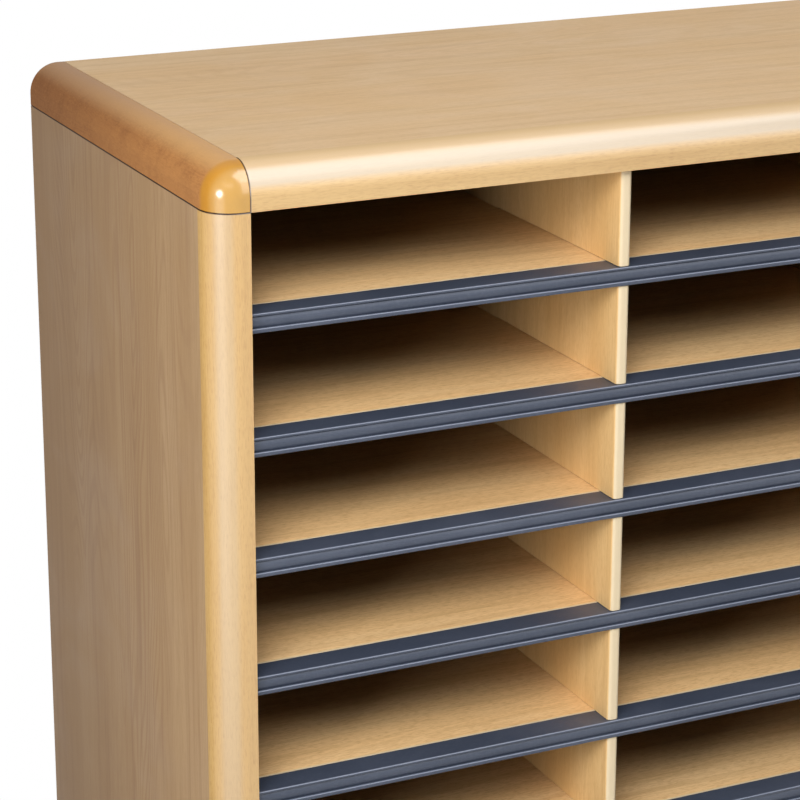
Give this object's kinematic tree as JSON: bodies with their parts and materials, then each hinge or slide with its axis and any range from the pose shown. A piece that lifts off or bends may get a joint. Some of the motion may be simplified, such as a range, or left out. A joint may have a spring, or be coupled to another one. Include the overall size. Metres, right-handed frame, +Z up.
{
  "type": "document organizer",
  "caption": "Wooden desk sorter for papers: a case with rounded solid-wood corners, upright dividers and pull-out shelves faced with gray label mouldings.",
  "frame": {"origin": "on the table under the middle of the case, midway between its front and its back", "axes": "+X to the right seen from the front, +Y towards the back, +Z up"},
  "size_m": [0.819, 0.343, 0.654],
  "materials": {
    "maple_laminate": "wood-print laminate, satin, fine straight grain",
    "edging_wood": "solid light hardwood, flecked, clear gloss lacquer",
    "rail_wood": "solid hardwood, honey stain, clear gloss lacquer",
    "shelf_board": "thin board with satin wood print, grain across the width",
    "divider_board": "thin board with satin wood print, upright grain, cream rounded front edge",
    "hardboard": "pressed fibre hardboard, wood print inside, plain brown behind",
    "moulding_plastic": "extruded blue-gray plastic, satin, fine lines along its length",
    "plated_steel": "zinc-plated steel",
    "plain_hardwood": "plain unfinished hardwood strip",
    "cam_zinc": "die-cast zinc, dull",
    "glide_nylon": "hard dark nylon"
  },
  "bodies": {
    "case": {"left_side_panel": "maple_laminate", "right_side_panel": "maple_laminate", "top_panel": "maple_laminate", "bottom_panel": "maple_laminate", "left_front_edging": "edging_wood", "right_front_edging": "edging_wood", "top_front_edging": "edging_wood", "left_corner_rail": "rail_wood", "right_corner_rail": "rail_wood", "back_panel": "hardboard", "left_divider": "divider_board", "right_divider": "divider_board", "bottom_label_moulding": "moulding_plastic", "left_shelf_runners": "plain_hardwood", "right_shelf_runners": "plain_hardwood", "corner_splines": "plain_hardwood", "cam_locks": "cam_zinc", "cam_bolts": "plated_steel", "back_staples": "plated_steel", "glides": "glide_nylon"},
    "pullout_1": {"shelf_1": "shelf_board", "label_moulding_1": "moulding_plastic"},
    "pullout_2": {"shelf_2": "shelf_board", "label_moulding_2": "moulding_plastic"},
    "pullout_3": {"shelf_3": "shelf_board", "label_moulding_3": "moulding_plastic"},
    "pullout_4": {"shelf_4": "shelf_board", "label_moulding_4": "moulding_plastic"},
    "pullout_5": {"shelf_5": "shelf_board", "label_moulding_5": "moulding_plastic"},
    "pullout_6": {"shelf_6": "shelf_board", "label_moulding_6": "moulding_plastic"},
    "pullout_7": {"shelf_7": "shelf_board", "label_moulding_7": "moulding_plastic"}
  },
  "joints": [
    {"name": "shelf_1_slide", "type": "slide", "parent": "case", "child": "pullout_1", "axis": [0, -1, 0], "range_m": [0, 0.34]},
    {"name": "shelf_2_slide", "type": "slide", "parent": "case", "child": "pullout_2", "axis": [0, -1, 0], "range_m": [0, 0.34]},
    {"name": "shelf_3_slide", "type": "slide", "parent": "case", "child": "pullout_3", "axis": [0, -1, 0], "range_m": [0, 0.34]},
    {"name": "shelf_4_slide", "type": "slide", "parent": "case", "child": "pullout_4", "axis": [0, -1, 0], "range_m": [0, 0.34]},
    {"name": "shelf_5_slide", "type": "slide", "parent": "case", "child": "pullout_5", "axis": [0, -1, 0], "range_m": [0, 0.34]},
    {"name": "shelf_6_slide", "type": "slide", "parent": "case", "child": "pullout_6", "axis": [0, -1, 0], "range_m": [0, 0.34]},
    {"name": "shelf_7_slide", "type": "slide", "parent": "case", "child": "pullout_7", "axis": [0, -1, 0], "range_m": [0, 0.34]}
  ]
}
